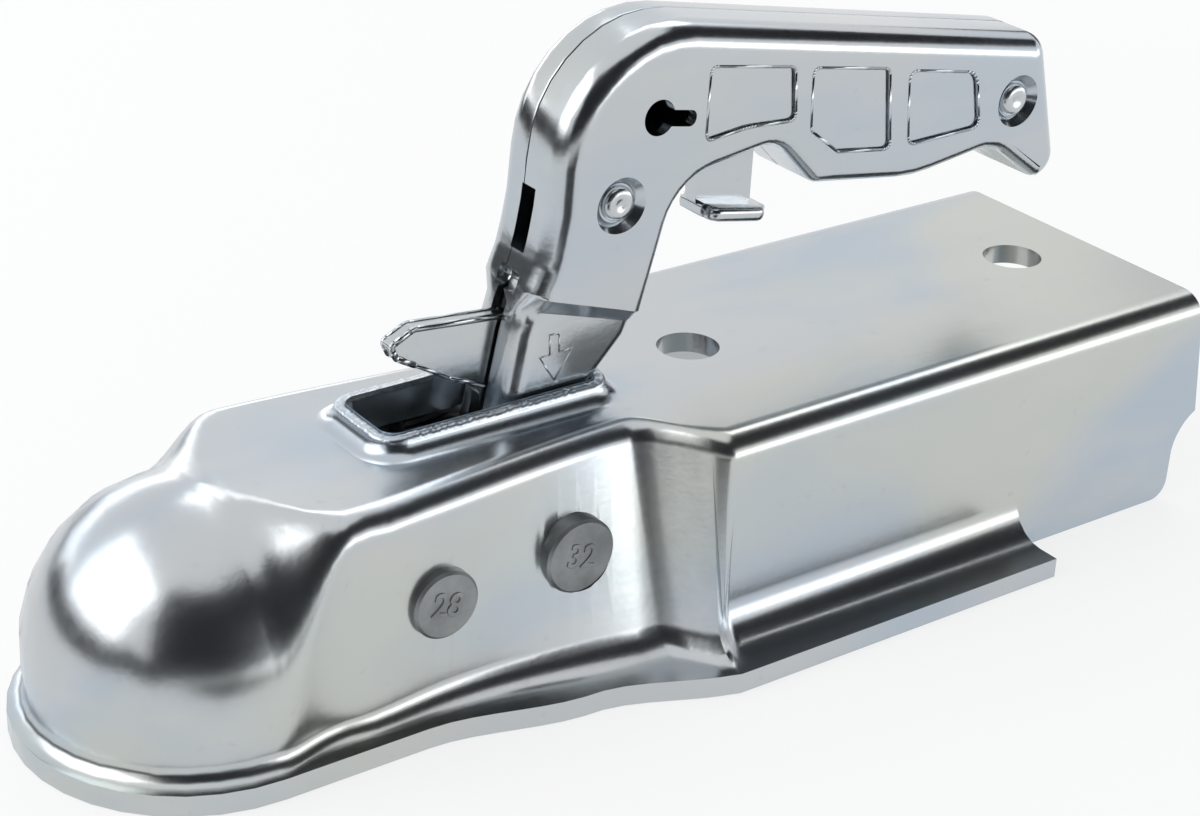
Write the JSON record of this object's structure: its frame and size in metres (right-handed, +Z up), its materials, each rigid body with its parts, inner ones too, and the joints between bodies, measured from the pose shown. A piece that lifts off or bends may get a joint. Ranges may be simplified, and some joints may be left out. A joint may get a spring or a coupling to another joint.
{
  "type": "trailer coupling head",
  "caption": "Pressed-steel trailer coupling head with a ball socket, a lift-up handle and a drawbar channel with two vertical bolt holes.",
  "frame": {"origin": "centre of the 50 mm tow ball in the socket", "axes": "+X rearward along the drawbar, +Y to the side away from the picture's camera, +Z up"},
  "size_m": [0.2431, 0.0936, 0.1117],
  "materials": {
    "zinc_sheet": "bright zinc plating with satin flats and faint blue and yellow tints",
    "bright_zinc": "bright zinc plating, glossier than the housing",
    "pin_steel": "matt zinc on turned steel",
    "plain_steel": "plain turned steel",
    "spring_steel": "dark drawn wire",
    "cast_metal": "grey cast surface"
  },
  "bodies": {
    "base": {"housing": "zinc_sheet", "front_pin": "pin_steel", "rear_pin": "pin_steel", "front_spacer_left": "plain_steel", "front_spacer_right": "plain_steel", "rear_spacer_left": "plain_steel", "rear_spacer_right": "plain_steel", "rear_washer_left": "plain_steel", "rear_washer_right": "plain_steel", "catch_bush": "plain_steel", "clamp_spring": "spring_steel", "handle_spring": "spring_steel"},
    "handle": {"handle_left": "bright_zinc", "handle_right": "bright_zinc", "lower_rivet": "pin_steel", "end_rivet": "pin_steel", "grip_spacer": "plain_steel", "pivot_tube": "plain_steel", "cam_pin": "pin_steel", "cam_sleeve": "plain_steel", "pointer_plate": "bright_zinc", "lever_bush_left": "plain_steel", "lever_bush_right": "plain_steel", "lever_spring": "spring_steel"},
    "clamp": {"ball_clamp": "cast_metal"},
    "lever": {"release_lever": "bright_zinc"}
  },
  "joints": [
    {"name": "handle_lift", "type": "hinge", "parent": "base", "child": "handle", "pos_m": [0.062, 0, 0.01], "axis": [0, -1, 0], "range_deg": [0, 18]},
    {"name": "clamp_swing", "type": "hinge", "parent": "base", "child": "clamp", "pos_m": [0.0343, 0, 0.0087], "axis": [0, -1, 0], "range_deg": [0, 12]},
    {"name": "lever_squeeze", "type": "hinge", "parent": "handle", "child": "lever", "pos_m": [0.0806, 0, 0.0659], "axis": [0, -1, 0], "range_deg": [0, 8], "stiffness_Nm_per_rad": 0.5}
  ],
  "couplings": [
    {"joint": "clamp_swing", "follows": "handle_lift", "ratio": 0.6667}
  ]
}
